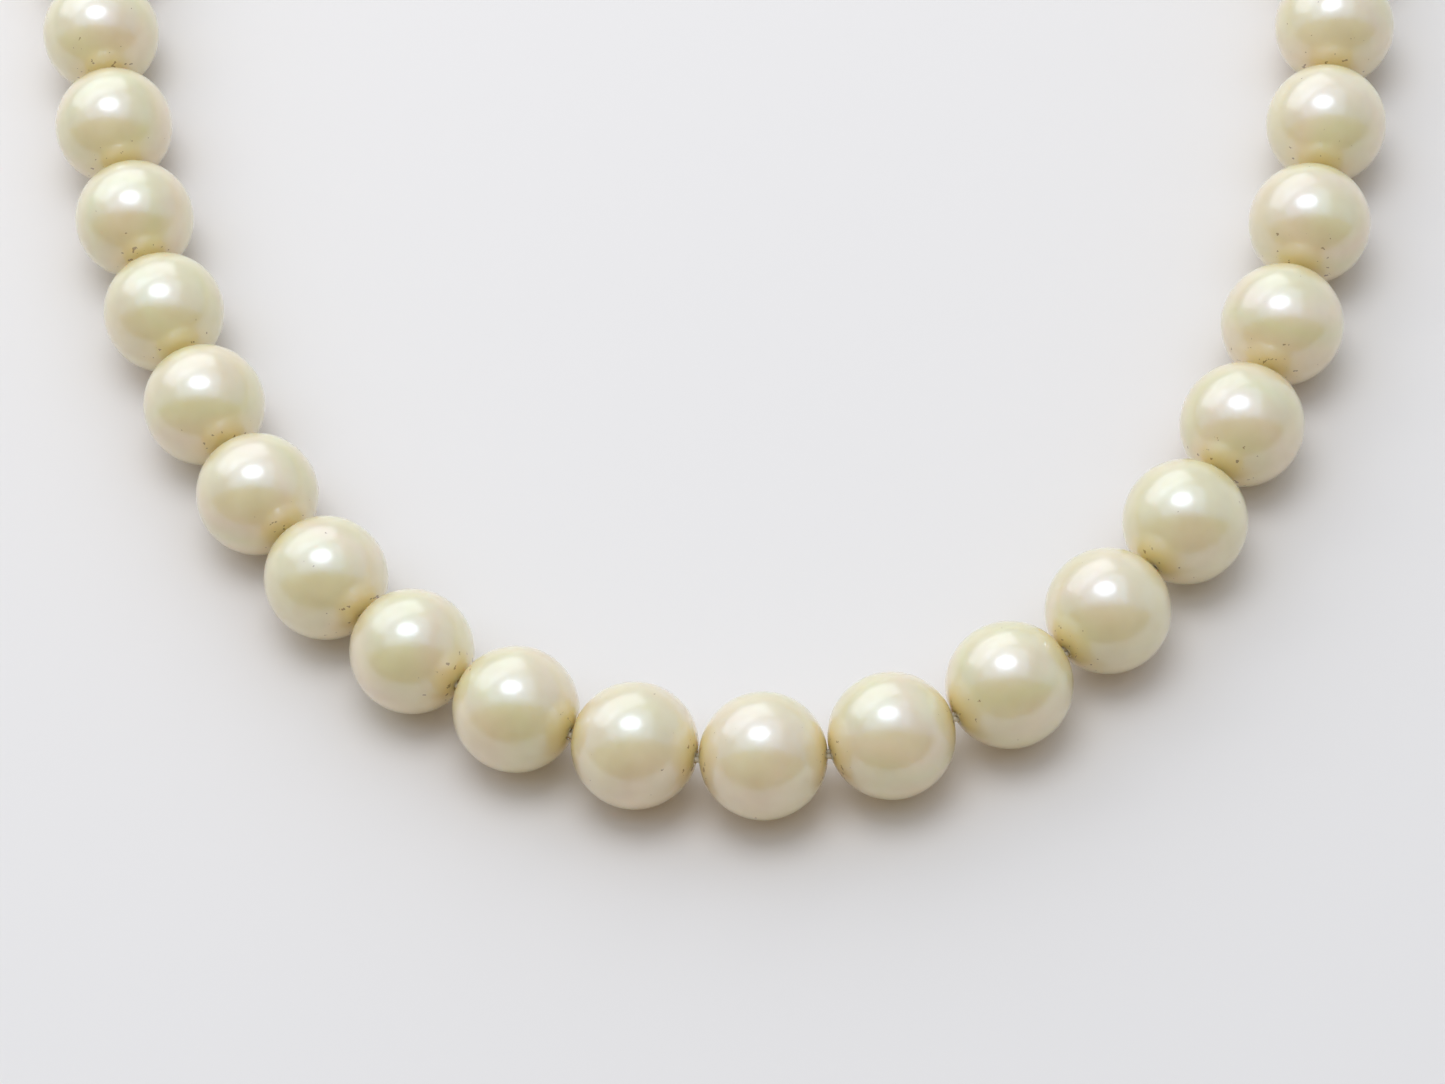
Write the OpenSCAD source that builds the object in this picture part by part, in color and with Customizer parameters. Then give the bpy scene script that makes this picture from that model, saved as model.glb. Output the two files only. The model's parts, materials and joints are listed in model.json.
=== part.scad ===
// Single-strand pearl necklace with a fish-hook clasp, lying open on a flat surface.
// +Z is up, the front of the strand faces -Y, and the wearer's neck goes through the middle.
// Every gap between two pearls is a hinge with a vertical axis.

/* [Pearls] */
// Diameter of each pearl
pearl_d = 8; // [7:0.1:8.5]
// Pearls on each side of the centre pearl
arm_pearls = 24; // [18:1:24]
// Free thread between two pearls when the strand is straight
pearl_gap = 0.16; // [0.12:0.01:0.3]
// Diameter of the drilled hole
hole_d = 0.8; // [0.8:0.05:1]
// Diameter of the doubled silk thread
thread_d = 0.7; // [0.5:0.05:0.7]

/* [How the strand lies] */
// Bend of every gap along the sides, in degrees
side_bend = 3; // [2:0.5:4]
// Extra bend at the front of the left arm, in degrees
front_bend_left = 11; // [6:0.5:13]
// How many pearls that extra bend fades over, left arm
front_spread_left = 5.2; // [4:0.1:6]
// Extra bend at the front of the right arm, in degrees
front_bend_right = 14; // [6:0.5:15]
// How many pearls that extra bend fades over, right arm
front_spread_right = 4.7; // [4:0.1:6]
// Gap after which the arms start to straighten
straighten_from = 10; // [6:1:12]
// How many gaps they take to become straight
straighten_over = 10; // [8:1:10]

/* [Thread ends] */
// Diameter of the knot that stops the last pearl
knot_d = 1.2; // [1:0.1:1.3]
// Diameter of the gimp, the coiled wire sleeve over the thread loop
gimp_d = 0.9; // [0.8:0.05:0.95]
// Radius of the gimp loop, to the middle of the gimp
gimp_loop_r = 1.3; // [1.3:0.05:1.35]

/* [Clasp] */
// Length of the closed clasp without its rings
clasp_l = 14; // [13:0.5:16]
// Diameter of the clasp at its middle
clasp_d = 5.2; // [5:0.1:5.6]
// Thickness of the pressed sheet
sheet = 0.35; // [0.3:0.05:0.4]
// Width of the hook's strip
strip_w = 1.8; // [1.4:0.1:1.8]
// Diameter of the bar that the hook catches
bar_d = 0.5; // [0.4:0.05:0.5]
// Wire diameter of the soldered rings
ring_wire = 0.7; // [0.6:0.05:0.7]
// Radius of the soldered rings, to the middle of the wire
ring_r = 1.35; // [1.3:0.05:1.4]
// Angle that the free leaf stands open, in degrees
leaf_open = 9; // [6:1:9]

/* [Hidden] */
$fn = 64;
pearl_r = pearl_d / 2;
pitch = pearl_d + pearl_gap;
knot_clear = 0.03;
solder_gap = 0.02;
gimp_neck = 1.9;

// Chain geometry of one arm, counted outwards from the centre pearl.
// Gap k joins pearl k - 1 to pearl k, and the arm is worked out as if it ran to the right.
function bend(k, front, spread) =
    side_bend * (1 - min(1, max(0, k - straighten_from) / straighten_over))
    + front * exp(-pow((k - 0.5) / spread, 2));
function heading(k, front, spread) =
    k == 0 ? 0 : heading(k - 1, front, spread) + bend(k, front, spread);
function along(angle) = [cos(angle), sin(angle), 0];
function gap_point(k, front, spread) =
    k == 1 ? [pitch / 2, 0, 0]
           : gap_point(k - 1, front, spread) + pitch * along(heading(k - 1, front, spread));
function pearl_point(k, front, spread) =
    gap_point(k, front, spread) + pitch / 2 * along(heading(k, front, spread));

// One side is a list: [mirror sign, front bend, spread].
LEFT = [-1, front_bend_left, front_spread_left];
RIGHT = [1, front_bend_right, front_spread_right];
function place_of(side, k) =
    let (p = k == 0 ? [0, 0, 0] : pearl_point(k, side[1], side[2])) [side[0] * p[0], p[1], 0];
function turn_of(side, k) =
    let (a = heading(k, side[1], side[2])) side[0] > 0 ? a : 180 - a;

// Thread end, measured outwards from the middle of the last pearl
knot_x = pearl_r + knot_clear + knot_d / 2;
gimp_x = knot_x + knot_d / 2 + knot_clear + gimp_neck;
swivel_x = gimp_x + gimp_loop_r;

// Clasp, measured outwards from its swivel. The two halves are one olive shape cut
// across, this far from its middle. Its sides are arcs of one big circle.
cut_l = 4;
ring_play = 0.1;
ring_x = ring_r - gimp_d / 2 - ring_wire / 2 - ring_play;
boss_r = 0.6;
boss_l = 0.2;
clasp_x = ring_x + ring_r + ring_wire / 2 + boss_l;
half_l = clasp_l / 2;
mouth_x = clasp_x + half_l + cut_l;
cap_x = clasp_x + half_l - cut_l;
side_r = (pow(half_l, 2) + pow(clasp_d / 2, 2)) / clasp_d;
function radius_at(x) = sqrt(pow(side_r, 2) - pow(x - clasp_x - half_l, 2)) - side_r + clasp_d / 2;
bar_inset = 1.7;
bar_x = mouth_x - bar_inset;
bar_end_inset = 0.1;
bar_len = 2 * (radius_at(bar_x) - bar_end_inset);
notch_w = 1.3;
notch_l = 1.6;

// Hook, measured from the cap's flat face
fold_r = 0.5;
tongue_l = 5;
fold_x = cap_x + tongue_l;
leaf_l = 4.3;
tab_l = 0.5;
tab_w = 1;
tab_h = 1.2;
leaf_gap = 1;

// Heights of the two clasp halves: the shell lies on the surface, and the hook's gimp
// loop stands just clear of it.
shell_z = clasp_d / 2;
loop_lift = 0.05;
hook_z = gimp_loop_r + gimp_d / 2 + loop_lift;

// The bounding box of the whole strand, from the same functions
arm_range = [1 : arm_pearls];
x_high = max([for (k = arm_range) place_of(RIGHT, k)[0]]) + pearl_r;
x_low = min([for (k = arm_range) place_of(LEFT, k)[0]]) - pearl_r;
function tip(side, reach, radius) =
    let (a = heading(arm_pearls, side[1], side[2]))
    place_of(side, arm_pearls)[1] + (swivel_x + reach) * sin(a) + radius * abs(cos(a));
y_high = max(tip(LEFT, mouth_x, radius_at(mouth_x)), tip(RIGHT, fold_x + fold_r + sheet, 0));
middle = [(x_low + x_high) / 2, (y_high - pearl_r) / 2, 0];

function two_digits(k) = k < 10 ? str("0", k) : str(k);
function left_name(k) = str("pearl_left_", two_digits(k));
function right_name(k) = str("pearl_right_", two_digits(k));

// Puts a piece at pearl k of one side, with +X pointing out along the strand.
module at_pearl(side, k) {
    translate(place_of(side, k) - middle)
        rotate([0, 0, turn_of(side, k)])
            children();
}

// Puts a piece at the swivel of one clasp half, at the height of its axis.
module at_clasp(side, height) {
    at_pearl(side, arm_pearls)
        translate([swivel_x, 0, height])
            children();
}

module rod_x(from, to, d) {
    translate([from, 0, 0])
        rotate([0, 90, 0])
            cylinder(h = to - from, d = d);
}

// Turns an outline about the strand's own line. The outline's Y runs along +X.
module turned_x() {
    rotate([0, 90, 0])
        rotate_extrude()
            children();
}

// The same, but only half a turn: the upper half when up is 1, the lower half when it is -1.
module half_turned_x(up) {
    rotate([0, 90, 0])
        rotate([0, 0, 90 * up])
            rotate_extrude(angle = 180)
                children();
}

// A round pearl drilled right through, turned about its hole.
module drilled_pearl() {
    color("ivory")
        translate([0, 0, pearl_r])
            turned_x()
                intersection() {
                    circle(r = pearl_r);
                    translate([hole_d / 2, -pearl_d])
                        square([pearl_d, 2 * pearl_d]);
                }
}

// Each pearl holds its own length of the thread.
module pearl(side, k) {
    at_pearl(side, k) {
        drilled_pearl();
        color("white")
            translate([0, 0, pearl_r])
                rod_x(-pearl_r, pearl_r, thread_d);
    }
}

// The last pearl of an arm: its thread ends in a knot drawn up against the hole.
module end_pearl(side) {
    at_pearl(side, arm_pearls) {
        drilled_pearl();
        color("white")
            translate([0, 0, pearl_r])
                turned_x() {
                    translate([0, -pearl_r])
                        square([thread_d / 2, pearl_r + knot_x]);
                    intersection() {
                        translate([0, knot_x])
                            circle(d = knot_d);
                        translate([0, pearl_r])
                            square([knot_d, knot_d + 1]);
                    }
                }
    }
}

// Gimp: a fine coiled wire sleeve, drawn with its thread into a loop through the ring.
module gimp(side, height) {
    drop = pearl_r - height;
    run = gimp_x - knot_x;
    reach = norm([run, drop]);
    color("gold")
        at_pearl(side, arm_pearls) {
            translate([gimp_x, 0, height])
                rotate([90, 0, 0])
                    rotate_extrude()
                        translate([gimp_loop_r, 0])
                            circle(d = gimp_d);
            translate([knot_x, 0, pearl_r])
                rotate([0, atan2(drop, run), 0])
                    rod_x(knot_d / 2 + knot_clear, reach - gimp_loop_r, gimp_d);
        }
}

module ring_solid(extra) {
    translate([ring_x, 0, 0])
        rotate_extrude()
            translate([ring_r, 0])
                circle(d = ring_wire + 2 * extra);
}

module clasp_ring(side, height) {
    color("gold")
        at_clasp(side, height)
            ring_solid(0);
}

// Half the outline of the olive, from the axis outwards, with its rear tip at clasp_x.
module olive_outline(inset) {
    intersection() {
        translate([clasp_d / 2 - side_r, clasp_x + half_l])
            circle(r = side_r - inset, $fn = 240);
        square([clasp_d, 2 * clasp_l]);
    }
}

// Outline of the short post behind the olive, which the ring is soldered to.
module boss_outline() {
    translate([0, ring_x + ring_r])
        square([boss_r, clasp_x + boss_r - ring_x - ring_r]);
}

// Keeps the part of an outline between two places along X.
module between(from, to) {
    intersection() {
        children();
        translate([0, from])
            square([clasp_d, to - from]);
    }
}

// Outline of the shell's wall, with the post behind it.
module wall_outline() {
    difference() {
        union() {
            olive_outline(0);
            boss_outline();
        }
        olive_outline(sheet);
    }
}

// Half of the hollow shell: above the seam when up is 1, below it when up is -1.
module shell_half(up) {
    color("gold")
        at_clasp(LEFT, shell_z)
            difference() {
                half_turned_x(up)
                    between(0, mouth_x)
                        wall_outline();
                ring_solid(solder_gap);
                translate([bar_x, 0, 0])
                    rotate([90, 0, 0])
                        cylinder(h = bar_len + 2 * solder_gap, d = bar_d + 2 * solder_gap, center = true);
                if (up > 0)
                    translate([mouth_x - notch_l, -notch_w / 2, 0.5])
                        cube([notch_l + 1, notch_w, clasp_d]);
            }
}

module catch_bar() {
    color("gold")
        at_clasp(LEFT, shell_z)
            translate([bar_x, 0, 0])
                rotate([90, 0, 0])
                    cylinder(h = bar_len, d = bar_d, center = true);
}

// Solid cap that closes the shell's mouth: the cut-off end of the same olive.
module hook_cap() {
    color("gold")
        at_clasp(RIGHT, hook_z)
            difference() {
                turned_x()
                    between(0, cap_x)
                        union() {
                            olive_outline(0);
                            boss_outline();
                        }
                ring_solid(solder_gap);
            }
}

// Part of the fold between two angles, measured up from +X about the fold's own axis.
module fold_arc(from, to) {
    translate([fold_x, 0, 0])
        rotate([90, 0, 0])
            rotate([0, 0, from])
                rotate_extrude(angle = to - from)
                    translate([fold_r, -strip_w / 2])
                        square([sheet, strip_w]);
}

// Lower leg of the hook, soldered to the cap, with the fold at its tip.
module hook_tongue() {
    color("gold")
        at_clasp(RIGHT, hook_z)
            union() {
                translate([cap_x + solder_gap, -strip_w / 2, -fold_r - sheet])
                    cube([fold_x - cap_x - solder_gap, strip_w, sheet]);
                fold_arc(-90, 90 - leaf_open - leaf_gap);
            }
}

// Upper leg of the hook: springs open about the fold and carries the thumb tab.
module spring_leaf() {
    color("gold")
        at_clasp(RIGHT, hook_z)
            translate([fold_x, 0, 0])
                rotate([0, leaf_open, 0])
                    union() {
                        translate([-leaf_l, -strip_w / 2, fold_r])
                            cube([leaf_l, strip_w, sheet]);
                        translate([-leaf_l, -tab_w / 2, fold_r])
                            cube([tab_l, tab_w, sheet + tab_h]);
                    }
}

pearl(RIGHT, 0);  // pearl_centre
for (k = [1 : arm_pearls - 1]) {
    pearl(LEFT, k);
    pearl(RIGHT, k);
}
end_pearl(LEFT);
end_pearl(RIGHT);
gimp(LEFT, shell_z);  // gimp_left
clasp_ring(LEFT, shell_z);  // shell_ring
shell_half(1);  // shell_top
shell_half(-1);  // shell_bottom
catch_bar();
gimp(RIGHT, hook_z);  // gimp_right
clasp_ring(RIGHT, hook_z);  // hook_ring
hook_cap();
hook_tongue();
spring_leaf();
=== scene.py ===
import json
import math

import bpy
from mathutils import Matrix, Vector

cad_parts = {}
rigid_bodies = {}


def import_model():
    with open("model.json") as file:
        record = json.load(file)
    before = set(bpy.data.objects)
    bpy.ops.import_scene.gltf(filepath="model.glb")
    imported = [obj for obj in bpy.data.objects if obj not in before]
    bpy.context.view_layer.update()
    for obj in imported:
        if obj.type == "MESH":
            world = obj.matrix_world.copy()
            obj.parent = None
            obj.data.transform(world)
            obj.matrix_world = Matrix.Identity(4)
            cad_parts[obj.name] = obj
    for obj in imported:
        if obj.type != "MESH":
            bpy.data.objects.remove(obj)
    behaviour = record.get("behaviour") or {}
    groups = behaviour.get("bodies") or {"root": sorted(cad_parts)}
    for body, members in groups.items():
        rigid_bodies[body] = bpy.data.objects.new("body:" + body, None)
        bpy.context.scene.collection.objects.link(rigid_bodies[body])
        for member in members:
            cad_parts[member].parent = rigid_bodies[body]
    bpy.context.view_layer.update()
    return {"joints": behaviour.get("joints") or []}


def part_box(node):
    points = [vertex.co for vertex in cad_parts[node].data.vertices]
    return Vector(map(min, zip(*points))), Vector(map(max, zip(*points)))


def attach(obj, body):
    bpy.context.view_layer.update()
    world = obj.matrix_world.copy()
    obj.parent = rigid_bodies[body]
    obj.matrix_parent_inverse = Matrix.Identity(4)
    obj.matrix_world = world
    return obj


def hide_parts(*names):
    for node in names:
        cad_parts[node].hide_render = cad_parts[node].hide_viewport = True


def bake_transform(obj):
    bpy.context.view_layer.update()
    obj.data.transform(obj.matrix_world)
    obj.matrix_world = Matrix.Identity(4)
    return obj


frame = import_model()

# ---------------------------------------------------------------------------------------------
# The way the strand runs
# Pearls are threaded one after another on doubled silk. Each gap between two pearls is a place
# where the strand bends, so a pearl's hole lies on the line from one gap to the next.

MM = 0.001
ARM = 24
SIDES = ("left", "right")
SWIVEL = {"left": "swivel_catch_half", "right": "swivel_hook_half"}
joints = {joint["name"]: joint for joint in frame["joints"]}
pearl_gap_centre = {}
for side in SIDES:
    for k in range(1, ARM + 1):
        pearl_gap_centre[side, k] = Vector(joints[f"bend_{side}_{k:02d}"]["pos_m"])


def pearl_line(side, k):
    """Where one pearl's hole starts and ends: the two gaps beside it, the inner one first."""
    if k == 0:
        return pearl_gap_centre["left", 1], pearl_gap_centre["right", 1]
    inner = pearl_gap_centre[side, k]
    if k < ARM:
        return inner, pearl_gap_centre[side, k + 1]
    swivel = Vector(joints[SWIVEL[side]]["pos_m"])
    swivel.z = inner.z
    pitch = (pearl_gap_centre[side, ARM] - pearl_gap_centre[side, ARM - 1]).length
    return inner, inner + (swivel - inner).normalized() * pitch


def place_on_line(start, end, roll=0.0):
    """Puts +X along the line and the origin at its middle."""
    turn = (end - start).to_track_quat("X", "Z").to_matrix().to_4x4()
    return Matrix.Translation((start + end) / 2) @ turn @ Matrix.Rotation(roll, 4, "X")


def body_name(side, k):
    return "centre" if k == 0 else f"{side}_{k:02d}"


# ---------------------------------------------------------------------------------------------
# Pearls
# Round cultured pearls: a shell bead with a skin of nacre, drilled right through, matched for
# size and polished. The skin is never quite even, and the drill leaves a small chipped mouth.

PEARL_R = 4.01 * MM
HOLE_R = 0.37 * MM
MOUTH = 0.05 * MM       # bevel round each end of the hole
UNEVEN = 0.05 * MM      # how far the skin swells out of round
SWELL = 6 * MM          # width of one swelling
MATCH = 0.006           # how much smaller the smallest pearl is
GOLDEN_STEP = 0.618     # spreads the sizes evenly along the strand
ROLL_STEP = 2.4         # radians from one pearl's turn on the thread to the next


def select_nothing():
    if bpy.context.mode != "OBJECT":
        bpy.ops.object.mode_set(mode="OBJECT")
    bpy.ops.object.select_all(action="DESELECT")


def edit_only(piece, kind):
    """Opens one piece in edit mode with nothing selected."""
    select_nothing()
    piece.select_set(True)
    bpy.context.view_layer.objects.active = piece
    bpy.ops.object.mode_set(mode="EDIT")
    bpy.ops.mesh.select_mode(type=kind)
    bpy.ops.mesh.select_all(action="DESELECT")
    bpy.ops.object.mode_set(mode="OBJECT")


def select_where(elements, wanted):
    for element in elements:
        element.select = wanted(element)
    bpy.ops.object.mode_set(mode="EDIT")


def off_line(point):
    """Distance from the strand's own line, for a piece that lies along X."""
    return math.hypot(point.y, point.z)


def drilled_ball():
    select_nothing()
    bpy.ops.mesh.primitive_uv_sphere_add(
        segments=64, ring_count=62, radius=PEARL_R, rotation=(0, math.pi / 2, 0))
    ball = bpy.context.active_object
    bpy.ops.object.transform_apply(rotation=True)
    edit_only(ball, "VERT")
    select_where(ball.data.vertices, lambda v: off_line(v.co) < HOLE_R * 0.9)
    bpy.ops.mesh.delete(type="VERT")
    bpy.ops.mesh.select_mode(type="EDGE")
    bpy.ops.mesh.select_non_manifold()
    bpy.ops.mesh.bridge_edge_loops()
    bpy.ops.object.mode_set(mode="OBJECT")
    edit_only(ball, "EDGE")
    points = ball.data.vertices
    select_where(ball.data.edges, lambda e: all(
        off_line(points[i].co) < HOLE_R * 1.1 for i in e.vertices)
        and points[e.vertices[0]].co.x * points[e.vertices[1]].co.x > 0)
    bpy.ops.mesh.bevel(offset=MOUTH, segments=2)
    bpy.ops.object.mode_set(mode="OBJECT")
    bpy.ops.object.shade_smooth()
    return ball


def own_copy(pattern, name, place):
    """A copy with its own mesh, set at its place."""
    copy = pattern.copy()
    copy.data = pattern.data.copy()
    copy.name = name
    copy.data.name = name
    bpy.context.scene.collection.objects.link(copy)
    copy.data.transform(place)
    return copy


def cover(piece, material):
    piece.data.materials.clear()
    piece.data.materials.append(material)


def finish_modifiers(piece):
    select_nothing()
    piece.select_set(True)
    bpy.context.view_layer.objects.active = piece
    for modifier in list(piece.modifiers):
        bpy.ops.object.modifier_apply(modifier=modifier.name)


def linear(hex_colour):
    """sRGB hex to linear RGBA."""
    parts = [int(hex_colour[i:i + 2], 16) / 255 for i in (1, 3, 5)]
    return [c / 12.92 if c <= 0.04045 else ((c + 0.055) / 1.055) ** 2.4 for c in parts] + [1.0]


def add_node(material, kind, links=None, **settings):
    """Adds one node. settings are its properties or input values, links its input sockets."""
    node = material.node_tree.nodes.new(kind)
    for name, value in settings.items():
        if hasattr(node, name):
            setattr(node, name, value)
        else:
            node.inputs[name.replace("_", " ")].default_value = value
    for name, socket in (links or {}).items():
        material.node_tree.links.new(socket, node.inputs[name])
    return node


def new_material(name):
    material = bpy.data.materials.new(name)
    material.use_nodes = True
    shader = material.node_tree.nodes["Principled BSDF"]
    return material, shader


def feed(material, socket, target):
    material.node_tree.links.new(socket, target)


def ramp(material, source, stops):
    """A colour ramp from (position, hex) stops."""
    node = add_node(material, "ShaderNodeValToRGB", {"Fac": source})
    band = node.color_ramp
    while len(band.elements) < len(stops):
        band.elements.new(0.5)
    for element, (position, colour) in zip(band.elements, stops):
        element.position = position
        element.color = linear(colour)
    return node.outputs["Color"]


def spread(material, source, low, high, at_low, at_high, kind="SMOOTHSTEP"):
    """Maps low..high of a value to at_low..at_high, and holds it outside them."""
    node = add_node(material, "ShaderNodeMapRange", {"Value": source}, interpolation_type=kind)
    for name, value in zip(("From Min", "From Max", "To Min", "To Max"),
                           (low, high, at_low, at_high)):
        node.inputs[name].default_value = value
    return node.outputs[0]


def per_mm(size_mm):
    """Texture scale for a feature of that size."""
    return 1 / (size_mm * MM)


# Nacre: aragonite plates in a clear protein. Light comes back from within the plates as a deep
# soft glow under a cool gloss. Its cream drifts a little between green and rose along the strand.
# Round the drilled holes, where the pearls touch, a lighter warm yellow is painted in: painted
# bounce light that offsets the shade between touching pearls. A few brown flecks of the pearl's
# own lie there too.
nacre, skin = new_material("cream_nacre")
nacre_at = add_node(nacre, "ShaderNodeTexCoord")
around = add_node(nacre, "ShaderNodeSeparateXYZ", {"Vector": nacre_at.outputs["UV"]})
body_tint = add_node(nacre, "ShaderNodeTexNoise", {"Vector": nacre_at.outputs["Object"]},
                     Scale=per_mm(11), Detail=1.0)
body_colour = ramp(nacre, body_tint.outputs["Fac"],
                   [(0.36, "#E8DBA8"), (0.46, "#ECD8AE"), (0.56, "#E6DBA6"), (0.66, "#EBD8AA")])
cloud = add_node(nacre, "ShaderNodeTexNoise", {"Vector": nacre_at.outputs["Object"]},
                 Scale=per_mm(2.4), Detail=2.0)
cloud_tone = ramp(nacre, cloud.outputs["Fac"], [(0.3, "#F6F2EA"), (0.7, "#FFFFFF")])
clouded = add_node(nacre, "ShaderNodeMix", data_type="RGBA", blend_type="MULTIPLY")
clouded.inputs["Factor"].default_value = 1.0
feed(nacre, body_colour, clouded.inputs["A"])
feed(nacre, cloud_tone, clouded.inputs["B"])
from_hole = add_node(nacre, "ShaderNodeMath", {0: around.outputs["Y"]}, operation="PINGPONG")
from_hole.inputs[1].default_value = 0.5
# Painted light: the band round each hole, where the pearls touch, gets a lighter warm yellow that
# stands in for bounce light and offsets the shade between the pearls.
painted_contact_light = spread(nacre, from_hole.outputs[0], 0.02, 0.26, 0.9, 0.0)
contact_lightened = add_node(nacre, "ShaderNodeMix", data_type="RGBA")
feed(nacre, painted_contact_light, contact_lightened.inputs["Factor"])
feed(nacre, clouded.outputs["Result"], contact_lightened.inputs["A"])
contact_lightened.inputs["B"].default_value = linear("#F4D88E")
fleck_noise = add_node(nacre, "ShaderNodeTexNoise", {"Vector": nacre_at.outputs["Object"]},
                       Scale=per_mm(0.42), Detail=2.0)
fleck_zone = spread(nacre, from_hole.outputs[0], 0.1, 0.32, 0.66, 0.78, "LINEAR")
fleck = add_node(nacre, "ShaderNodeMath",
                 {0: fleck_noise.outputs["Fac"], 1: fleck_zone}, operation="GREATER_THAN")
flecked = add_node(nacre, "ShaderNodeMix", data_type="RGBA")
feed(nacre, fleck.outputs[0], flecked.inputs["Factor"])
feed(nacre, contact_lightened.outputs["Result"], flecked.inputs["A"])
flecked.inputs["B"].default_value = linear("#A98A50")
feed(nacre, flecked.outputs["Result"], skin.inputs["Base Color"])
skin.inputs["Roughness"].default_value = 0.28
skin.inputs["IOR"].default_value = 1.75
skin.inputs["Specular IOR Level"].default_value = 1.0
skin.inputs["Specular Tint"].default_value = linear("#D2E4FF")
skin.inputs["Coat Weight"].default_value = 1.0
skin.inputs["Coat Roughness"].default_value = 0.16
skin.inputs["Coat IOR"].default_value = 1.7
skin.inputs["Subsurface Weight"].default_value = 0.9
skin.inputs["Subsurface Radius"].default_value = (1.0, 0.85, 0.6)
skin.inputs["Subsurface Scale"].default_value = 2.5 * MM
growth = add_node(nacre, "ShaderNodeTexNoise", {"Vector": nacre_at.outputs["Object"]},
                  Scale=per_mm(2.2), Detail=3.0)
relief = add_node(nacre, "ShaderNodeBump", {"Height": growth.outputs["Fac"]},
                  Strength=0.05, Distance=0.1 * MM)
feed(nacre, relief.outputs["Normal"], skin.inputs["Normal"])

ball = drilled_ball()
swell = bpy.data.textures.new("nacre_growth", "CLOUDS")
swell.noise_scale = SWELL
for side in SIDES:
    for k in range(0 if side == "right" else 1, ARM + 1):
        name = "pearl_centre" if k == 0 else f"pearl_{side}_{k:02d}"
        index = k if side == "right" else ARM + k
        start, end = pearl_line(side, k)
        size = 1 - MATCH * ((index * GOLDEN_STEP) % 1)
        place = place_on_line(start, end, roll=index * ROLL_STEP) @ Matrix.Scale(size, 4)
        pearl = own_copy(ball, name + "_nacre", place)
        uneven = pearl.modifiers.new("uneven", "DISPLACE")
        uneven.texture = swell
        uneven.texture_coords = "LOCAL"
        uneven.mid_level = 0.5
        uneven.strength = UNEVEN
        finish_modifiers(pearl)
        cover(pearl, nacre)
        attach(pearl, body_name(side, k))
        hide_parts(name)
bpy.data.objects.remove(ball)

# ---------------------------------------------------------------------------------------------
# Silk thread
# Two plies of cream silk cord twisted together run through every pearl. They show as a short
# twisted stretch in each gap, and end in a knot pulled up against the last pearl.

PLY_R = 0.17 * MM
TWIST_TURN = 2.2 * MM   # length of one full turn of the plies
SOFT_BEND = 0.09        # half of the part of a stretch that bends


def bend_in_middle(piece, angle):
    """Bends a piece that lies along X sideways, in a short stretch at its middle."""
    bend = piece.modifiers.new("bend", "SIMPLE_DEFORM")
    bend.deform_method = "BEND"
    bend.deform_axis = "Z"
    bend.angle = angle
    bend.limits = (0.5 - SOFT_BEND, 0.5 + SOFT_BEND)


def twisted_thread(length):
    """Two plies along X, twisted round each other."""
    select_nothing()
    plies = []
    for side_step in (-1, 1):
        bpy.ops.mesh.primitive_cylinder_add(
            vertices=10, radius=PLY_R, depth=length, end_fill_type="TRIFAN",
            location=(0, side_step * PLY_R, 0), rotation=(0, math.pi / 2, 0))
        plies.append(bpy.context.active_object)
    thread = plies[-1]
    for ply in plies:
        ply.select_set(True)
    bpy.ops.object.transform_apply(location=True, rotation=True)
    bpy.ops.object.join()
    edit_only(thread, "EDGE")
    points = thread.data.vertices
    select_where(thread.data.edges, lambda e: abs(
        points[e.vertices[0]].co.x - points[e.vertices[1]].co.x) > length / 2)
    bpy.ops.mesh.subdivide(number_cuts=40)
    bpy.ops.object.mode_set(mode="OBJECT")
    twist = thread.modifiers.new("twist", "SIMPLE_DEFORM")
    twist.deform_method = "TWIST"
    twist.deform_axis = "X"
    twist.angle = 2 * math.pi * length / TWIST_TURN
    finish_modifiers(thread)
    bpy.ops.object.shade_smooth()
    return thread


# Silk: fine glossy filaments laid side by side, so the thread has a soft sheen along its twist.
silk, silk_skin = new_material("cream_silk")
silk_at = add_node(silk, "ShaderNodeTexCoord")
filament = add_node(silk, "ShaderNodeTexNoise", {"Vector": silk_at.outputs["Object"]},
                    Scale=per_mm(0.12), Detail=3.0)
silk_colour = ramp(silk, filament.outputs["Fac"], [(0.3, "#D9C9A2"), (0.7, "#EFE3C6")])
feed(silk, silk_colour, silk_skin.inputs["Base Color"])
silk_skin.inputs["Roughness"].default_value = 0.55
silk_skin.inputs["Sheen Weight"].default_value = 0.4
silk_skin.inputs["Sheen Roughness"].default_value = 0.4
silk_relief = add_node(silk, "ShaderNodeBump", {"Height": filament.outputs["Fac"]},
                       Strength=0.5, Distance=0.05 * MM)
feed(silk, silk_relief.outputs["Normal"], silk_skin.inputs["Normal"])

pitch = (pearl_gap_centre["left", 2] - pearl_gap_centre["left", 1]).length
thread = twisted_thread(pitch)
for side in SIDES:
    for k in range(1, ARM + 1):
        inner, outer = (sum(pearl_line(side, i), Vector()) / 2 for i in (k - 1, k))
        gap = pearl_gap_centre[side, k]
        before, after = gap - inner, outer - gap
        turn = math.atan2(before.x * after.y - before.y * after.x, before.dot(after))
        stretch = own_copy(thread, f"thread_{side}_{k:02d}", Matrix.Identity(4))
        bend_in_middle(stretch, turn)
        finish_modifiers(stretch)
        middle = (before.normalized() + after.normalized()).normalized()
        stretch.data.transform(place_on_line(gap - middle, gap + middle))
        cover(stretch, silk)
        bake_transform(stretch)
bpy.data.objects.remove(thread)

KNOT_TURN_R = 0.4 * MM
KNOT_OUT = 4.63 * MM    # from the last pearl's centre to the knot's
KNOT_TURNS = ((80, 10), (62, 130), (25, -40), (70, 65), (38, 200))


def last_pearl(side):
    """Centre of an arm's last pearl, and the way that its hole points out."""
    start, end = pearl_line(side, ARM)
    return (start + end) / 2, (end - start).normalized()


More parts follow.
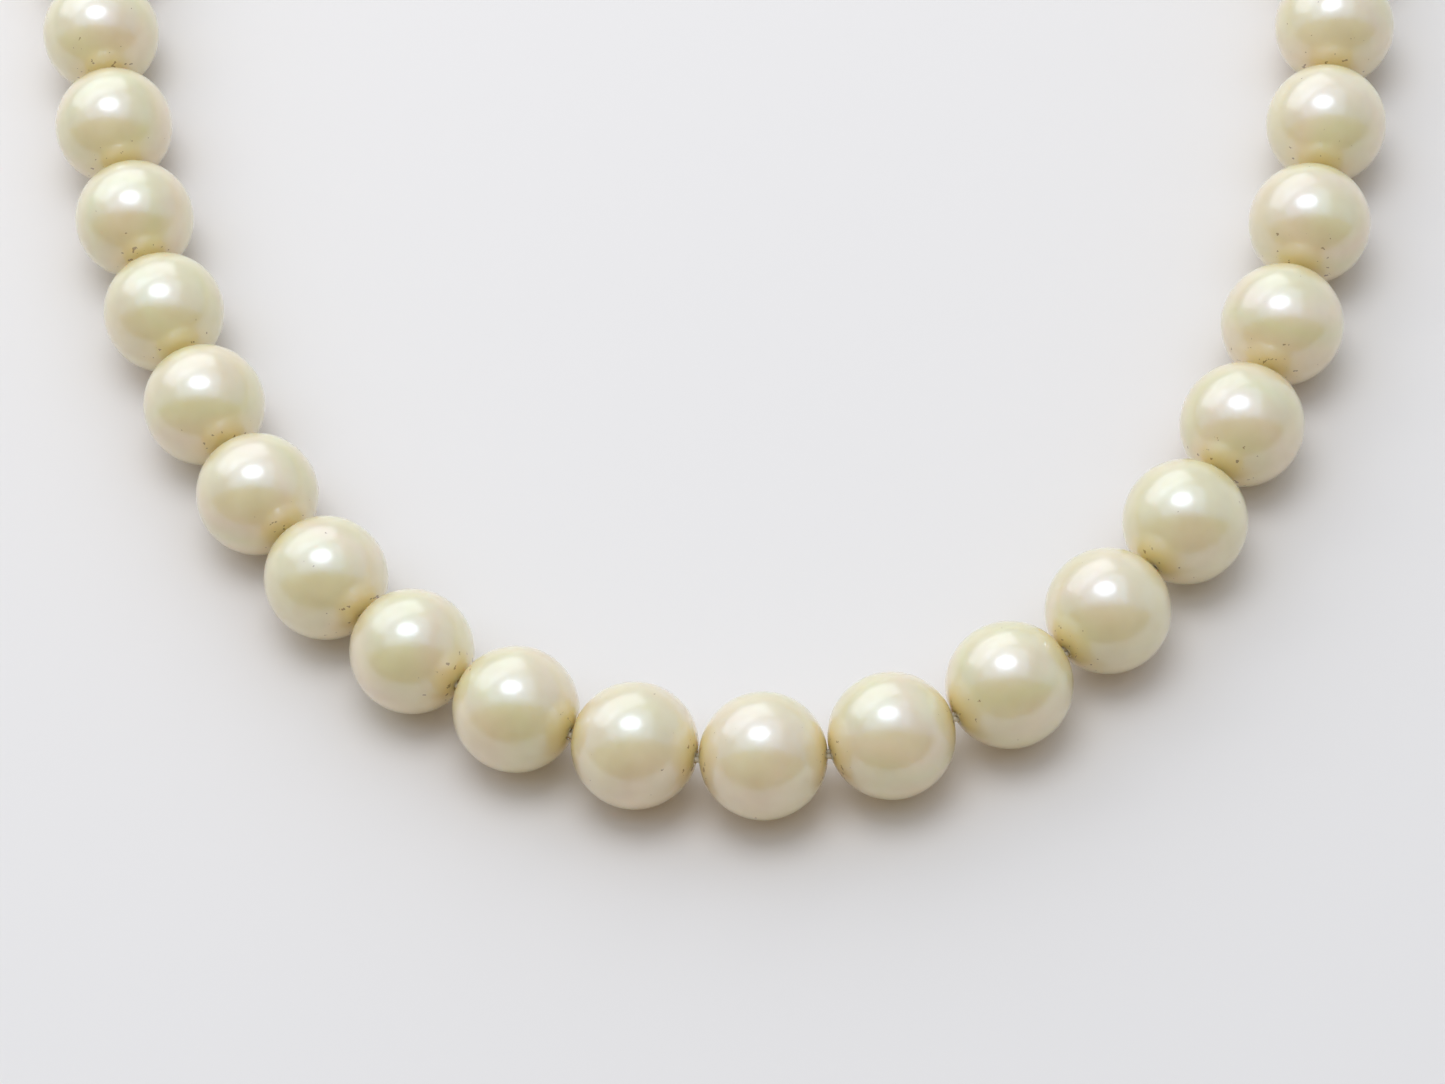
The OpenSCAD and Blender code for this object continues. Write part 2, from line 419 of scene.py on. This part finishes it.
for side in SIDES:
    centre, along = last_pearl(side)
    select_nothing()
    turns = []
    for tilt_y, tilt_z in KNOT_TURNS:
        bpy.ops.mesh.primitive_torus_add(
            major_segments=36, minor_segments=10, major_radius=KNOT_TURN_R, minor_radius=PLY_R,
            rotation=(0, math.radians(tilt_y), math.radians(tilt_z)))
        turns.append(bpy.context.active_object)
    for turned in turns:
        turned.select_set(True)
    bpy.ops.object.transform_apply(rotation=True)
    bpy.ops.object.join()
    knot = bpy.context.active_object
    bpy.ops.object.shade_smooth()
    knot.name = f"end_knot_{side}"
    knot.data.name = knot.name
    knot.data.transform(Matrix.Translation(centre + along * KNOT_OUT))
    knot.data.materials.append(silk)
    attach(knot, body_name(side, ARM))

# ---------------------------------------------------------------------------------------------
# Gimp
# Fine gold wire wound into a soft hollow coil. The thread goes through it, and the coil makes
# the loop that holds the clasp's ring, so that the metal does not wear the silk.

GIMP_WIRE_R = 0.075 * MM
GIMP_COIL_R = 0.36 * MM
GIMP_PITCH = 0.17 * MM
GIMP_LOOP_R = 1.3 * MM
LOOP_STEPS = 40
LEG_OFF = 0.16 * MM     # the two legs of the loop lie this far off its axis at the knot
KNOT_CLEAR = 0.45 * MM


def teardrop(reach):
    """The loop in its own plane: from the knot at (reach, 0), round the circle and back."""
    touch = math.acos(GIMP_LOOP_R / reach)
    points = [Vector((reach, LEG_OFF, 0))]
    for i in range(LOOP_STEPS + 1):
        angle = touch + (2 * math.pi - 2 * touch) * i / LOOP_STEPS
        points.append(Vector((math.cos(angle), math.sin(angle), 0)) * GIMP_LOOP_R)
    points.append(Vector((reach, -LEG_OFF, 0)))
    return points


def path_curve(name, points):
    path = bpy.data.curves.new(name, "CURVE")
    path.dimensions = "3D"
    spline = path.splines.new("POLY")
    spline.points.add(len(points) - 1)
    for point, spot in zip(spline.points, points):
        point.co = (*spot, 1)
    rail = bpy.data.objects.new(name, path)
    bpy.context.scene.collection.objects.link(rail)
    return rail


def wire_coil(length):
    """A helix of round wire along X, from a small ring of vertices and a screw."""
    select_nothing()
    bpy.ops.mesh.primitive_circle_add(
        vertices=7, radius=GIMP_WIRE_R, location=(0, 0, GIMP_COIL_R),
        rotation=(math.pi / 2, 0, 0))
    coil = bpy.context.active_object
    bpy.ops.object.transform_apply(location=True, rotation=True)
    screw = coil.modifiers.new("wind", "SCREW")
    screw.axis = "X"
    screw.steps = 14
    screw.render_steps = 14
    screw.angle = 2 * math.pi
    screw.screw_offset = GIMP_PITCH
    screw.iterations = int(length / GIMP_PITCH)
    screw.use_normal_calculate = True
    screw.use_merge_vertices = True
    finish_modifiers(coil)
    return coil


# Gilt wire: drawn hard and bright, a little dulled by handling.
gilt_wire, gilt_skin = new_material("gilt_drawn_wire")
gilt_at = add_node(gilt_wire, "ShaderNodeTexCoord")
drawn = add_node(gilt_wire, "ShaderNodeTexNoise", {"Vector": gilt_at.outputs["Object"]},
                 Scale=per_mm(0.3), Detail=3.0)
gilt_colour = ramp(gilt_wire, drawn.outputs["Fac"], [(0.3, "#B98C45"), (0.7, "#E3BE74")])
feed(gilt_wire, gilt_colour, gilt_skin.inputs["Base Color"])
gilt_skin.inputs["Metallic"].default_value = 1.0
gilt_skin.inputs["Roughness"].default_value = 0.3

for side in SIDES:
    centre, along = last_pearl(side)
    knot_spot = centre + along * KNOT_OUT
    swivel = Vector(joints[SWIVEL[side]]["pos_m"])
    loop_centre = swivel - along * GIMP_LOOP_R
    to_knot = knot_spot - loop_centre
    loop = teardrop(to_knot.length - KNOT_CLEAR)
    rail = path_curve("rail", loop)
    coil = wire_coil(sum((after - before).length for before, after in zip(loop, loop[1:])))
    follow = coil.modifiers.new("follow", "CURVE")
    follow.object = rail
    follow.deform_axis = "POS_X"
    finish_modifiers(coil)
    bpy.data.objects.remove(rail)
    out = to_knot.normalized()
    across = out.cross(along).normalized()
    facing_loop = Matrix((out, across.cross(out), across)).transposed().to_4x4()
    coil.data.transform(Matrix.Translation(loop_centre) @ facing_loop)
    bpy.ops.object.shade_smooth()
    coil.name = f"gimp_coil_{side}"
    coil.data.name = coil.name
    cover(coil, gilt_wire)
    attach(coil, body_name(side, ARM))
    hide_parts(f"gimp_{side}")

# ---------------------------------------------------------------------------------------------
# Clasp, catch half
# Two shells pressed from gold sheet are soldered along a seam into a hollow olive. The press
# leaves flutes, and a beaded rim stiffens the mouth. A bar across it holds the hook.

CLASP_L = 14 * MM
CLASP_R = 2.6 * MM
CUT_L = 4 * MM
SHEET = 0.35 * MM
RING_R = 1.35 * MM
RING_WIRE_R = 0.35 * MM
RING_X = 0.45 * MM
CLASP_X = 2.35 * MM
FLUTES = 16
FLUTE_DEPTH = 0.93      # a groove's radius as a share of the olive's
BEAD_R = 0.11 * MM
BEADS = 52
BEAD_INSET = 0.28 * MM  # from the rim to the ring of beads
SOLDER_R = 0.5 * MM
SKIN_START = 0.02 * MM  # the pressed skin starts this far from the olive's point
NOTCH_W = 1.3 * MM
NOTCH_L = 1.6 * MM
BAR_R = 0.25 * MM
BAR_INSET = 1.7 * MM
ARC_R = (CLASP_L ** 2 / 4 + CLASP_R ** 2) / (2 * CLASP_R)
MID_X = CLASP_X + CLASP_L / 2
MOUTH_X = MID_X + CUT_L


def olive_radius(x):
    return math.sqrt(ARC_R ** 2 - (x - MID_X) ** 2) - ARC_R + CLASP_R


def olive_line(end_x, rows):
    """The olive's outline from its point out to one place along X."""
    start_x = CLASP_X + SKIN_START
    places = [start_x + (end_x - start_x) * i / rows for i in range(rows + 1)]
    return [Vector((x, 0, olive_radius(x))) for x in places]


def profile_line(points):
    """A line of vertices in the XZ plane, drawn by extruding one vertex from point to point."""
    select_nothing()
    bpy.ops.mesh.primitive_plane_add(size=1 * MM)
    line = bpy.context.active_object
    bpy.ops.object.mode_set(mode="EDIT")
    bpy.ops.mesh.select_mode(type="VERT")
    bpy.ops.mesh.merge(type="CENTER")
    bpy.ops.transform.translate(value=points[0])
    for before, after in zip(points, points[1:]):
        bpy.ops.mesh.extrude_region_move(TRANSFORM_OT_translate={"value": after - before})
    bpy.ops.object.mode_set(mode="OBJECT")
    return line


def turned_about_x(points, steps):
    """Spins an outline about the strand's line and closes it into a smooth skin."""
    piece = profile_line(points)
    bpy.ops.object.mode_set(mode="EDIT")
    bpy.ops.mesh.select_all(action="SELECT")
    bpy.ops.mesh.spin(steps=steps, angle=2 * math.pi, center=(0, 0, 0), axis=(1, 0, 0))
    bpy.ops.mesh.select_all(action="SELECT")
    bpy.ops.mesh.remove_doubles(threshold=0.004 * MM)
    bpy.ops.mesh.normals_make_consistent(inside=False)
    bpy.ops.object.mode_set(mode="OBJECT")
    return piece


def press_flutes(piece, low, high):
    """Draws in every other stretch of the skin between two places along X."""
    edit_only(piece, "VERT")

    def in_groove(v):
        part = math.atan2(v.co.z, v.co.y) / (2 * math.pi) * FLUTES
        return low < v.co.x < high and abs(part - round(part)) < 0.1
    select_where(piece.data.vertices, in_groove)
    bpy.ops.transform.resize(value=(1, FLUTE_DEPTH, FLUTE_DEPTH), center_override=(0, 0, 0))
    bpy.ops.object.mode_set(mode="OBJECT")


def finish_piece(piece, name, place, body, material, nodes=()):
    piece.name = name
    piece.data.name = name
    piece.data.transform(place)
    cover(piece, material)
    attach(piece, body)
    if nodes:
        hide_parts(*nodes)
    return piece


def beads(x, name, place, body, notch=0):
    """A ring of small raised beads on the olive, left out over a notch in its top."""
    select_nothing()
    bpy.ops.mesh.primitive_ico_sphere_add(
        subdivisions=2, radius=BEAD_R, location=(x, 0, olive_radius(x) + 0.02 * MM))
    bead = bpy.context.active_object
    bpy.ops.object.transform_apply(location=True)
    bpy.ops.object.mode_set(mode="EDIT")
    bpy.ops.mesh.select_all(action="SELECT")
    bpy.ops.mesh.spin(steps=BEADS, dupli=True, angle=2 * math.pi,
                      center=(0, 0, 0), axis=(1, 0, 0))
    bpy.ops.mesh.select_all(action="SELECT")
    bpy.ops.mesh.remove_doubles(threshold=0.002 * MM)
    bpy.ops.mesh.select_all(action="DESELECT")
    bpy.ops.object.mode_set(mode="OBJECT")
    select_where(bead.data.vertices, lambda v: v.co.z > 0 and abs(v.co.y) < notch / 2)
    bpy.ops.mesh.select_linked()
    bpy.ops.mesh.delete(type="VERT")
    bpy.ops.object.mode_set(mode="OBJECT")
    bpy.ops.object.shade_smooth()
    return finish_piece(bead, name, place, body, gold)


def solder_ring(name, place, body, node):
    """The jump ring, and the lump of solder where it meets the post."""
    joint_x = RING_X + RING_R + RING_WIRE_R
    select_nothing()
    bpy.ops.mesh.primitive_torus_add(
        major_segments=72, minor_segments=24, major_radius=RING_R, minor_radius=RING_WIRE_R,
        location=(RING_X, 0, 0))
    ring = bpy.context.active_object
    bpy.ops.mesh.primitive_uv_sphere_add(
        segments=24, ring_count=16, radius=SOLDER_R, location=(joint_x, 0, 0))
    solder = bpy.context.active_object
    ring.select_set(True)
    bpy.context.view_layer.objects.active = ring
    bpy.ops.object.transform_apply(location=True)
    edit_only(solder, "VERT")
    select_where(solder.data.vertices, lambda v: True)
    bpy.ops.transform.resize(value=(0.6, 1, 0.72), center_override=(joint_x, 0, 0))
    bpy.ops.object.mode_set(mode="OBJECT")
    select_nothing()
    ring.select_set(True)
    solder.select_set(True)
    bpy.context.view_layer.objects.active = ring
    bpy.ops.object.join()
    bpy.ops.object.shade_smooth()
    return finish_piece(ring, name, place, body, gold, [node])


# Polished gold: buffed to a mirror, with the fine hair scratches of wear.
gold, gold_skin = new_material("polished_gold")
gold_at = add_node(gold, "ShaderNodeTexCoord")
tone = add_node(gold, "ShaderNodeTexNoise", {"Vector": gold_at.outputs["Object"]},
                Scale=per_mm(1.8), Detail=2.0)
gold_colour = ramp(gold, tone.outputs["Fac"], [(0.35, "#DDB163"), (0.65, "#E9C57D")])
feed(gold, gold_colour, gold_skin.inputs["Base Color"])
gold_skin.inputs["Metallic"].default_value = 1.0
wear = add_node(gold, "ShaderNodeTexNoise", {"Vector": gold_at.outputs["Object"]},
                Scale=per_mm(0.5), Detail=5.0)
rub = spread(gold, wear.outputs["Fac"], 0.35, 0.75, 0.12, 0.3, "LINEAR")
feed(gold, rub, gold_skin.inputs["Roughness"])
scratch_way = add_node(gold, "ShaderNodeMapping", {"Vector": gold_at.outputs["Object"]})
scratch_way.inputs["Scale"].default_value = (1.0, 0.12, 1.0)
scratch = add_node(gold, "ShaderNodeTexNoise", {"Vector": scratch_way.outputs[0]},
                   Scale=per_mm(0.06), Detail=2.0)
scratch_relief = add_node(gold, "ShaderNodeBump", {"Height": scratch.outputs["Fac"]},
                          Strength=0.12, Distance=0.02 * MM)
feed(gold, scratch_relief.outputs["Normal"], gold_skin.inputs["Normal"])


def clasp_place(side):
    """Puts the swivel at the origin and +X out along the strand."""
    along = last_pearl(side)[1]
    return Matrix.Translation(joints[SWIVEL[side]]["pos_m"]) @ along.to_track_quat(
        "X", "Z").to_matrix().to_4x4()


catch_place = clasp_place("left")
for half, up in (("top", 1), ("bottom", -1)):
    shell = turned_about_x(olive_line(MOUTH_X, 26), 128)
    press_flutes(shell, CLASP_X + 1.2 * MM, MOUTH_X - 0.7 * MM)
    edit_only(shell, "FACE")
    select_where(shell.data.polygons, lambda f: f.center.z * up < 0 or (
        up > 0 and abs(f.center.y) < NOTCH_W / 2 and f.center.x > MOUTH_X - NOTCH_L))
    bpy.ops.mesh.delete(type="FACE")
    bpy.ops.object.mode_set(mode="OBJECT")
    wall = shell.modifiers.new("sheet", "SOLIDIFY")
    wall.thickness = SHEET
    wall.offset = -1
    finish_modifiers(shell)
    bpy.ops.object.shade_smooth_by_angle(angle=math.radians(50))
    finish_piece(shell, f"pressed_shell_{half}", catch_place, "catch_half", gold,
                 [f"shell_{half}"])
beads(MOUTH_X - BEAD_INSET, "mouth_beads", catch_place, "catch_half", NOTCH_W)


def solder_post(name, place, body):
    """The post that ties the ring to the olive, with a small collar, turned to an outline."""
    outline = ((2.14, 0), (2.14, 0.4), (2.22, 0.52), (2.34, 0.6), (2.52, 0.66), (2.62, 0.78),
               (2.8, 0.8), (2.9, 0.7), (3.1, 0.62), (3.1, 0))
    post = turned_about_x([Vector((x, 0, r)) * MM for x, r in outline], 48)
    bpy.ops.object.shade_smooth_by_angle(angle=math.radians(40))
    return finish_piece(post, name, place, body, gold)


solder_post("catch_post", catch_place, "catch_half")
solder_ring("catch_jump_ring", catch_place, "catch_half", "shell_ring")

select_nothing()
bar_x = MOUTH_X - BAR_INSET
bar_length = 2 * (olive_radius(bar_x) - 0.1 * MM)
bpy.ops.mesh.primitive_cylinder_add(
    vertices=32, radius=BAR_R, depth=bar_length,
    location=(bar_x, 0, 0), rotation=(math.pi / 2, 0, 0))
bar = bpy.context.active_object
bpy.ops.object.transform_apply(location=True, rotation=True)
rivet = bar.modifiers.new("rivet", "BEVEL")
rivet.width = 0.1 * MM
rivet.segments = 3
rivet.limit_method = "ANGLE"
finish_modifiers(bar)
bpy.ops.object.shade_smooth_by_angle(angle=math.radians(40))
finish_piece(bar, "catch_pin", catch_place, "catch_half", gold, ["catch_bar"])

# ---------------------------------------------------------------------------------------------
# Clasp, hook half
# A strip of hard sprung gold is folded back on itself and soldered to a solid cap. The upper
# leaf springs open and is pressed down by its thumb tab to free the hook from the bar.

CAP_X = MID_X - CUT_L
FOLD_R = 0.5 * MM
TONGUE_L = 5 * MM
FOLD_X = CAP_X + TONGUE_L
STRIP_W = 1.8 * MM
LEAF_L = 4.3 * MM
LEAF_OPEN = math.radians(9)
TAB_W = 1.0 * MM
TAB_H = 1.2 * MM
LEAF_Z = FOLD_R + SHEET / 2     # from the fold's axis to the middle of the sheet

# Rolled spring gold: fine lines along the strip from the rolls, less bright than the shell.
spring_gold, spring_skin = new_material("rolled_spring_gold")
spring_at = add_node(spring_gold, "ShaderNodeTexCoord")
spring_way = add_node(spring_gold, "ShaderNodeMapping", {"Vector": spring_at.outputs["Object"]})
spring_way.inputs["Scale"].default_value = (1.0, 0.06, 1.0)
rolled = add_node(spring_gold, "ShaderNodeTexNoise", {"Vector": spring_way.outputs[0]},
                  Scale=per_mm(0.08), Detail=4.0)
spring_colour = ramp(spring_gold, rolled.outputs["Fac"], [(0.3, "#C99F55"), (0.7, "#E0BA72")])
feed(spring_gold, spring_colour, spring_skin.inputs["Base Color"])
spring_skin.inputs["Metallic"].default_value = 1.0
spring_skin.inputs["Roughness"].default_value = 0.28
spring_relief = add_node(spring_gold, "ShaderNodeBump", {"Height": rolled.outputs["Fac"]},
                         Strength=0.25, Distance=0.02 * MM)
feed(spring_gold, spring_relief.outputs["Normal"], spring_skin.inputs["Normal"])


def gold_strip(points, width):
    """A strip of sheet along a bent line: the line is drawn out sideways, then given its gauge."""
    strip = profile_line([p - Vector((0, width / 2, 0)) for p in points])
    bpy.ops.object.mode_set(mode="EDIT")
    bpy.ops.mesh.select_all(action="SELECT")
    bpy.ops.mesh.extrude_region_move(TRANSFORM_OT_translate={"value": (0, width, 0)})
    bpy.ops.object.mode_set(mode="OBJECT")
    gauge = strip.modifiers.new("gauge", "SOLIDIFY")
    gauge.thickness = SHEET
    gauge.offset = 0
    gauge.use_even_offset = True
    edges = strip.modifiers.new("edges", "BEVEL")
    edges.width = 0.07 * MM
    edges.segments = 3
    edges.limit_method = "ANGLE"
    edges.angle_limit = math.radians(50)
    finish_modifiers(strip)
    bpy.ops.object.mode_set(mode="EDIT")
    bpy.ops.mesh.select_all(action="SELECT")
    bpy.ops.mesh.normals_make_consistent(inside=False)
    bpy.ops.object.mode_set(mode="OBJECT")
    bpy.ops.object.shade_smooth_by_angle(angle=math.radians(40))
    return strip


def round_fold(low, high, steps):
    """Middle line of the fold between two angles, measured up from +X."""
    angles = [low + (high - low) * i / steps for i in range(steps + 1)]
    return [Vector((FOLD_X + LEAF_Z * math.cos(angle), 0, LEAF_Z * math.sin(angle)))
            for angle in angles]


hook_place = clasp_place("right")
cap_line = olive_line(CAP_X, 12)
cap_line[0].z = 0
cap_line.append(Vector((CAP_X, 0, 0)))
cap = turned_about_x(cap_line, 128)
press_flutes(cap, CLASP_X + 0.9 * MM, CAP_X - 0.5 * MM)
softened = cap.modifiers.new("softened", "BEVEL")
softened.width = 0.08 * MM
softened.segments = 3
softened.limit_method = "ANGLE"
softened.angle_limit = math.radians(60)
finish_modifiers(cap)
bpy.ops.object.shade_smooth_by_angle(angle=math.radians(50))
finish_piece(cap, "fluted_cap", hook_place, "hook_half", gold, ["hook_cap"])
beads(CAP_X - BEAD_INSET, "cap_beads", hook_place, "hook_half")
solder_post("hook_post", hook_place, "hook_half")
solder_ring("hook_jump_ring", hook_place, "hook_half", "hook_ring")

# The tongue's foot is let a little way into the cap.
foot_x = CAP_X - 0.1 * MM
leg = [Vector((foot_x + (FOLD_X - foot_x) * i / 8, 0, -LEAF_Z)) for i in range(8)]
tongue = gold_strip(leg + round_fold(-math.pi / 2, math.radians(80), 16), STRIP_W)
finish_piece(tongue, "folded_tongue", hook_place, "hook_half", spring_gold,
             ["hook_tongue"])

leaf = gold_strip([Vector((-LEAF_L * i / 8, 0, LEAF_Z)) for i in range(9)], STRIP_W)
tab_x = -LEAF_L + SHEET / 2 + 0.05 * MM
tab = gold_strip([Vector((tab_x, 0, LEAF_Z)),
                  Vector((tab_x, 0, FOLD_R + SHEET + TAB_H * 0.55)),
                  Vector((tab_x - 0.07 * MM, 0, FOLD_R + SHEET + TAB_H * 0.98))], TAB_W)
select_nothing()
leaf.select_set(True)
tab.select_set(True)
bpy.context.view_layer.objects.active = leaf
bpy.ops.object.join()
open_leaf = Matrix.Translation((FOLD_X, 0, 0)) @ Matrix.Rotation(LEAF_OPEN, 4, "Y")
finish_piece(leaf, "sprung_leaf", hook_place @ open_leaf, "leaf", spring_gold,
             ["spring_leaf"])

# ---------------------------------------------------------------------------------------------
# Table, light and camera
# A matt white table top under a wide soft light overhead. The camera looks down on the front of
# the strand from the wearer's side.

select_nothing()
bpy.ops.mesh.primitive_plane_add(size=6.0, location=(0, 0, 0))
table = bpy.context.active_object
table.name = "table_top"
# White card: warm white pulp, quite matt, so that it only takes soft shadows.
card, top = new_material("matt_white_card")
top.inputs["Base Color"].default_value = linear("#E6DCCF")
top.inputs["Roughness"].default_value = 0.8
table.data.materials.append(card)

# The room: cool and bright behind and above the strand, warm and dim on the camera's side, so
# that every pearl shows a light upper half that ends in a soft edge across its middle.
world = bpy.data.worlds.new("studio")
bpy.context.scene.world = world
world.use_nodes = True
sky = world.node_tree.nodes["Background"]
way = add_node(world, "ShaderNodeTexCoord")
axes = add_node(world, "ShaderNodeSeparateXYZ", {"Vector": way.outputs["Generated"]})
tilt = add_node(world, "ShaderNodeMath", {0: axes.outputs["Z"], 2: axes.outputs["Y"]},
                operation="MULTIPLY_ADD")
tilt.inputs[1].default_value = 0.25
behind = spread(world, tilt.outputs[0], -0.17, -0.03, 0.0, 1.0)
room = ramp(world, behind, [(0.0, "#A69D8E"), (1.0, "#CCDBF2")])
feed(world, room, sky.inputs["Color"])
sky.inputs["Strength"].default_value = 0.92


def soft_light(name, shape, position, aim, width, depth, watts, colour):
    light = bpy.data.lights.new(name, "AREA")
    light.shape = shape
    light.size = width
    light.size_y = depth
    light.energy = watts
    light.color = linear(colour)[:3]
    lamp = bpy.data.objects.new(name, light)
    lamp.matrix_world = Matrix.Translation(position) @ (
        Vector(aim) - Vector(position)).to_track_quat("-Z", "Y").to_matrix().to_4x4()
    bpy.context.scene.collection.objects.link(lamp)
    return lamp


# A bright disc inside a wide soft panel overhead, and a low window at the back left.
soft_light("disc", "ELLIPSE", (-0.02, 0.03, 0.56), (-0.02, 0.03, 0), 0.38, 0.28, 0.9, "#EEF4FF")
soft_light("panel", "RECTANGLE", (-0.05, 0.1, 0.57), (-0.05, 0.1, 0),
           0.96, 0.66, 1.55, "#D2E3FF")
soft_light("window", "RECTANGLE", (-0.15, 0.22, 0.2), (-0.06, 0.08, 0),
           0.56, 0.28, 0.56, "#F4F7FF")

ELEVATION = math.radians(58.6)
AZIMUTH = math.radians(9.2)
ROLL = math.radians(-9.65)
DISTANCE = 290 * MM
AIM = sum(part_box("pearl_centre"), Vector()) / 2 + Vector((-2.8, 15.6, 0)) * MM
looking = Vector((-math.sin(AZIMUTH) * math.cos(ELEVATION),
                  math.cos(AZIMUTH) * math.cos(ELEVATION), -math.sin(ELEVATION)))
level = Vector((math.cos(AZIMUTH), math.sin(AZIMUTH), 0))
upward = level.cross(looking)
right = level * math.cos(ROLL) + upward * math.sin(ROLL)
up = upward * math.cos(ROLL) - level * math.sin(ROLL)
lens = bpy.data.cameras.new("camera")
lens.lens = 113
lens.sensor_width = 36
lens.clip_start = 0.01
camera = bpy.data.objects.new("camera", lens)
bpy.context.scene.collection.objects.link(camera)
facing = Matrix((right, up, -looking)).transposed().to_4x4()
camera.matrix_world = Matrix.Translation(AIM - looking * DISTANCE) @ facing
bpy.context.scene.camera = camera
bpy.context.scene.view_settings.view_transform = "Standard"
